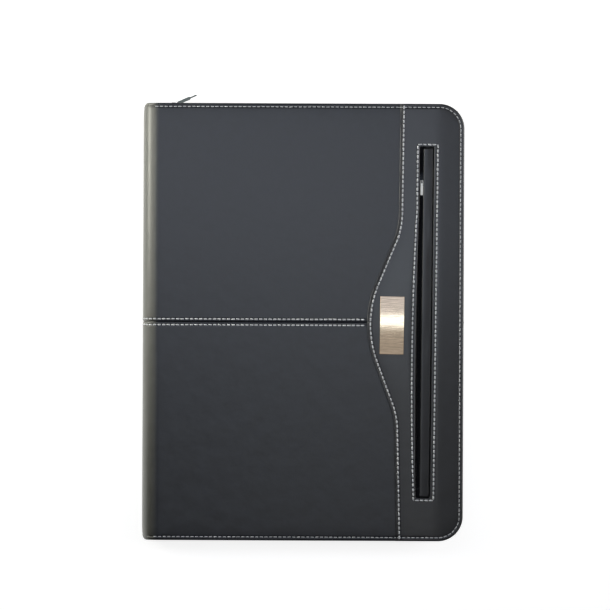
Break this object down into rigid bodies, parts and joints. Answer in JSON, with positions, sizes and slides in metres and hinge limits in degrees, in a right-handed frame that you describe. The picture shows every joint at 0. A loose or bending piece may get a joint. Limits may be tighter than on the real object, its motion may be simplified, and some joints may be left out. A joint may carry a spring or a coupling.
{
  "type": "conference folder",
  "caption": "Zip-round padded A4 conference folder with a writing pad inside, a zip pocket and a bare metal plate on its front cover.",
  "frame": {"origin": "centre of the back cover's outer face", "axes": "+X from the spine to the free edge, +Y to the top edge, +Z out of the front cover; the folder is closed and lies on its back cover"},
  "size_m": [0.257, 0.3569, 0.0323],
  "materials": {
    "skin": "smooth artificial leather, slate, faintly mottled, satin",
    "overlay": "smooth artificial leather, charcoal, satin",
    "foam": "thin open foam padding",
    "board": "stiff binder's board",
    "lining": "woven polyester lining, matt",
    "zip_tape": "woven polyester zip tape, matt",
    "zip_teeth": "nylon coil",
    "gunmetal": "die-cast metal with a dark gunmetal plating",
    "nickel": "brushed nickel-plated metal",
    "paper": "uncoated writing paper",
    "greyboard": "grey pad board",
    "binding": "glued paper binding strip",
    "elastic": "woven elastic"
  },
  "bodies": {
    "back": {"back_skin": "skin", "back_foam": "foam", "back_board": "board", "back_lining": "lining", "back_zip_tape": "zip_tape", "back_zip_teeth": "zip_teeth", "zip_top_stop_back": "gunmetal", "zip_end_stop": "gunmetal", "pad_sleeve": "lining", "pen_loop": "elastic"},
    "spine": {"spine_skin_upper": "skin", "spine_skin_lower": "skin", "spine_foam": "foam", "spine_lining": "lining"},
    "front": {"front_skin_upper": "skin", "front_skin_lower": "skin", "overlay_panel": "overlay", "front_foam": "foam", "front_board": "board", "front_lining": "lining", "front_zip_tape": "zip_tape", "front_zip_teeth": "zip_teeth", "zip_top_stop_front": "gunmetal", "document_pocket": "lining", "card_pocket_1": "lining", "card_pocket_2": "lining", "card_pocket_3": "lining", "metal_plate": "nickel", "pocket_welt": "overlay", "pocket_tape_left": "zip_tape", "pocket_tape_right": "zip_tape", "pocket_teeth_left": "zip_teeth", "pocket_teeth_right": "zip_teeth", "pocket_bag": "lining", "pocket_top_stop": "nickel", "pocket_bottom_stop": "nickel"},
    "pad": {"pad_backing_board": "greyboard", "pad_leaves": "paper", "pad_binding": "binding"},
    "zip_slider": {"main_zip_slider": "gunmetal"},
    "zip_puller": {"main_zip_puller": "gunmetal"},
    "pocket_slider": {"pocket_slider": "nickel"},
    "pocket_puller": {"pocket_puller": "nickel"}
  },
  "joints": [
    {"name": "spine_fold", "type": "hinge", "parent": "back", "child": "spine", "pos_m": [-0.1255, 0, 0.003], "axis": [0, -1, 0], "range_deg": [0, 90]},
    {"name": "cover_fold", "type": "hinge", "parent": "spine", "child": "front", "pos_m": [-0.1255, 0, 0.026], "axis": [0, -1, 0], "range_deg": [0, 89]},
    {"name": "pad_slide", "type": "slide", "parent": "back", "child": "pad", "axis": [0, 1, 0], "range_m": [0, 0.016]},
    {"name": "main_zip_slide", "type": "slide", "parent": "back", "child": "zip_slider", "axis": [1, 0, 0], "range_m": [0, 0.2064]},
    {"name": "main_puller_swing", "type": "hinge", "parent": "zip_slider", "child": "zip_puller", "pos_m": [-0.1044, 0.1736, 0.0145], "axis": [0, 0, 1], "range_deg": [-15, 147]},
    {"name": "pocket_zip_slide", "type": "slide", "parent": "front", "child": "pocket_slider", "axis": [-0.0087, -1, 0], "range_m": [0, 0.2413]},
    {"name": "pocket_puller_lift", "type": "hinge", "parent": "pocket_slider", "child": "pocket_puller", "pos_m": [0.09459, 0.11343, 0.02945], "axis": [-1, 0.0087, 0], "range_deg": [0, 160]}
  ]
}
